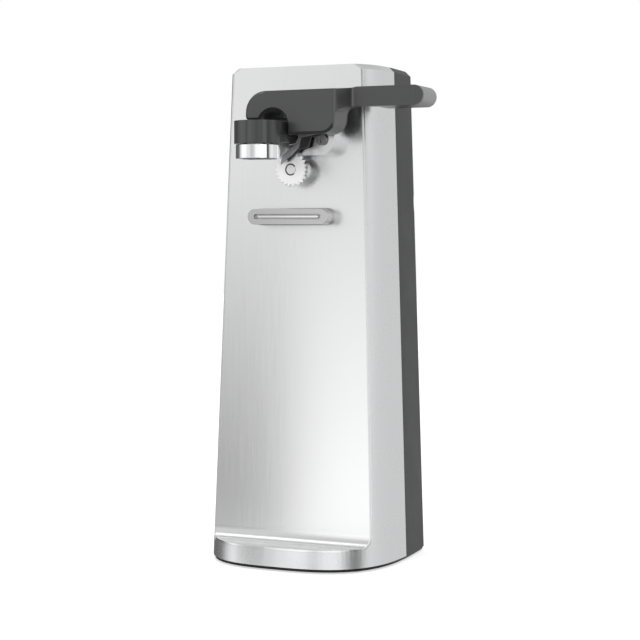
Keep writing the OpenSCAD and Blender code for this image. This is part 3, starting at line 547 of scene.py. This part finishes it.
# ---------------------------------------------------------------------------
# Drive spindle and wheel: a ground steel spindle in its bush; the wheel is
# hardened steel with ratchet teeth, pressed on the spindle's nose.
wheel_steel = brushed("satin_nickel", (0.95, 0.95, 0.95), 0.36, (900, 60, 900), 0.06)
coat("drive_spindle", pin_steel)
wheel = finished_copy("drive_wheel", "toothed_wheel", 0.00012, 2)
settle(wheel, "drive", wheel_steel)

# ---------------------------------------------------------------------------
# Lever spring: a leg of bright music wire that lies across the front of the
# hub, under the lever, and hooks round the lever's pivot to hold it up.
hub_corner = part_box("hub_housing")[0]
wire = 0.00042
wire_start = Vector((hub_corner.x + 0.0178, hub_corner.y - wire, hub_corner.z + 0.0054))
# each bend of the leg: how far to the right and how far up
bends = [(0.0028, 0.0005), (0.0046, 0.001), (0.002, 0.0007), (0.0012, 0.0009),
         (0.0006, 0.0012), (0.0001, 0.0013)]
bpy.ops.object.select_all(action="DESELECT")
bpy.ops.mesh.primitive_circle_add(
    vertices=10, radius=wire, fill_type="NGON", rotation=(0, math.radians(90), 0),
    location=wire_start)
spring_leg = bpy.context.object
spring_leg.name = spring_leg.data.name = "lever_spring"
bpy.ops.object.transform_apply(location=True, rotation=True, scale=True)
bpy.ops.object.mode_set(mode="EDIT")
bpy.ops.mesh.select_all(action="SELECT")
for along, up in bends:
    bpy.ops.mesh.extrude_region_move(TRANSFORM_OT_translate={"value": (along, 0, up)})
bpy.ops.mesh.select_all(action="SELECT")
bpy.ops.mesh.normals_make_consistent(inside=False)
bpy.ops.object.mode_set(mode="OBJECT")
bpy.ops.object.shade_smooth_by_angle(angle=math.radians(50))
music_wire = moulded("music_wire", (0.8, 0.8, 0.81), 0.2, (0.9, 0.9, 0.9), 900.0, 0.000001, 1.0)
settle(spring_leg, "column", music_wire)

# ---------------------------------------------------------------------------
# Nose clip: an open ring of blued spring wire round the spindle's nose; it
# keeps the wheel on. The wire is spun most of the way round the spindle.
wheel_low, wheel_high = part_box("drive_wheel")
wheel_mid = (wheel_low + wheel_high) / 2
nose = Vector((wheel_mid.x, wheel_low.y, wheel_mid.z))
clip_wire = 0.00034
clip_radius = 0.00265
clip_start = math.radians(-50)
clip_turn = math.radians(275)
bpy.ops.object.select_all(action="DESELECT")
bpy.ops.mesh.primitive_circle_add(
    vertices=12, radius=clip_wire, fill_type="NOTHING",
    location=(nose.x + clip_radius, nose.y - 0.00005, nose.z))
nose_clip = bpy.context.object
nose_clip.name = nose_clip.data.name = "nose_clip"
bpy.ops.object.transform_apply(location=True, rotation=True, scale=True)
bpy.ops.object.mode_set(mode="EDIT")
bpy.ops.mesh.select_all(action="SELECT")
bpy.ops.transform.rotate(value=clip_start, orient_axis="Y", center_override=nose)
bpy.ops.mesh.edge_face_add()
bpy.ops.mesh.spin(steps=48, angle=clip_turn, center=nose, axis=(0, -1, 0))
bpy.ops.mesh.select_all(action="SELECT")
bpy.ops.mesh.normals_make_consistent(inside=False)
bpy.ops.object.mode_set(mode="OBJECT")
bpy.ops.object.shade_smooth_by_angle(angle=math.radians(40))
settle(nose_clip, "drive", spring_steel)

# ---------------------------------------------------------------------------
# Can rest: a zinc casting that stands out from the front, brushed along its
# length, with a bright bar let into its slot. It is screwed on from behind.
rest_silver = brushed("brushed_casting", (0.5, 0.5, 0.505), 0.25, (30, 3600, 3600), 0.05, 0.000002,
                      0.9, 0.0007)
rest = finished_copy("can_rest", "cast_can_rest", 0.0008, 4)
settle(rest, "column", rest_silver)
chrome = moulded("polished_chrome", (0.74, 0.745, 0.75), 0.11, (0.95, 0.95, 0.95), 350.0,
                 0.0000015, 1.0, 0.08)
bar = finished_copy("can_rest_bar", "bright_bar", 0.0003, 3)
settle(bar, "column", chrome)

# ---------------------------------------------------------------------------
# Lever: a graphite ABS cover over a steel plate, hinged on a pin at its left
# end, with a lacquered grip behind the handle bar.
satin_graphite = moulded("satin_graphite", (0.036, 0.037, 0.038), 0.32, (0.08, 0.08, 0.082))
satin_graphite.node_tree.nodes["Principled BSDF"].inputs["IOR"].default_value = 1.7
lever = finished_copy("lever_cover", "lever_moulding", 0)
lever_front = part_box("lever_cover")[0].y


def chamfer_rim(piece, depth, width):
    """Cuts a chamfer round the face that lies at a depth."""
    bpy.ops.object.select_all(action="DESELECT")
    piece.select_set(True)
    bpy.context.view_layer.objects.active = piece
    bpy.ops.object.mode_set(mode="EDIT")
    bpy.ops.mesh.select_mode(type="EDGE")
    bpy.ops.mesh.select_all(action="DESELECT")
    bpy.ops.object.mode_set(mode="OBJECT")
    corners = piece.data.vertices
    faces_at = {}
    for face in piece.data.polygons:
        for pair in face.edge_keys:
            faces_at.setdefault(pair, []).append(face.normal)
    for edge in piece.data.edges:
        flat = all(abs(corners[i].co.y - depth) < 0.00002 for i in edge.vertices)
        normals = faces_at[edge.key]
        edge.select = flat and len(normals) == 2 and normals[0].dot(normals[1]) < 0.5
    bpy.ops.object.mode_set(mode="EDIT")
    bpy.ops.mesh.bevel(offset=width, segments=1, profile=0.5, affect="EDGES")
    bpy.ops.object.mode_set(mode="OBJECT")


chamfer_rim(lever, lever_front, 0.0012)
ease_small = lever.modifiers.new("eased_edges", "BEVEL")
ease_small.width = 0.0003
ease_small.segments = 2
ease_small.limit_method = "ANGLE"
ease_small.angle_limit = math.radians(40)
bpy.ops.object.modifier_apply(modifier=ease_small.name)
bpy.ops.object.shade_smooth_by_angle(angle=math.radians(35))
level = lever.modifiers.new("even_shading", "WEIGHTED_NORMAL")
level.keep_sharp = True
bpy.ops.object.modifier_apply(modifier=level.name)
settle(lever, "lever", satin_graphite)
grip_silver = brushed("grip_silver", (0.3, 0.3, 0.305), 0.32, (1800, 24, 1800), 0.12)
grip = finished_copy("handle_grip", "lacquered_grip", 0.0004, 3)
settle(grip, "lever", grip_silver)

# ---------------------------------------------------------------------------
# Cutter: a hardened steel blade ground to a point, backed by a black arm, both
# held to the lever's plate by two screws.
blade_steel = brushed("ground_blade", (0.42, 0.42, 0.43), 0.4, (1500, 1500, 200), 0.2)
blade = finished_copy("cutter_blade", "ground_cutter", 0.00012, 2)
settle(blade, "lever", blade_steel)
coat("cutter_support", black_plastic)

# ---------------------------------------------------------------------------
# Lid magnet: a graphite holder on a hinge, a chromed steel cup and a ferrite
# disc in it.
glossy_graphite = moulded("glossy_graphite", (0.05, 0.051, 0.053), 0.24, (0.12, 0.12, 0.122),
                          2600.0, 0.000002, 0.0, 0.06)
holder = finished_copy("magnet_arm", "magnet_holder", 0.0005, 3)
settle(holder, "magnet", glossy_graphite)
cup = finished_copy("magnet_cup", "chromed_cup", 0.0003, 3)
settle(cup, "magnet", chrome)
ferrite = moulded("ferrite", (0.05, 0.05, 0.055), 0.55, (0.1, 0.1, 0.1), 1200.0, 0.00002, 0.2)
coat("magnet_disc", ferrite)

# ---------------------------------------------------------------------------
# Housing screws: long zinc screws in the back, and two up through the base.
long_screws = finished_copy("housing_screws", "cover_screws", 0.00015, 2)
settle(long_screws, "column", screw_steel)
coat("base_screws", screw_steel)
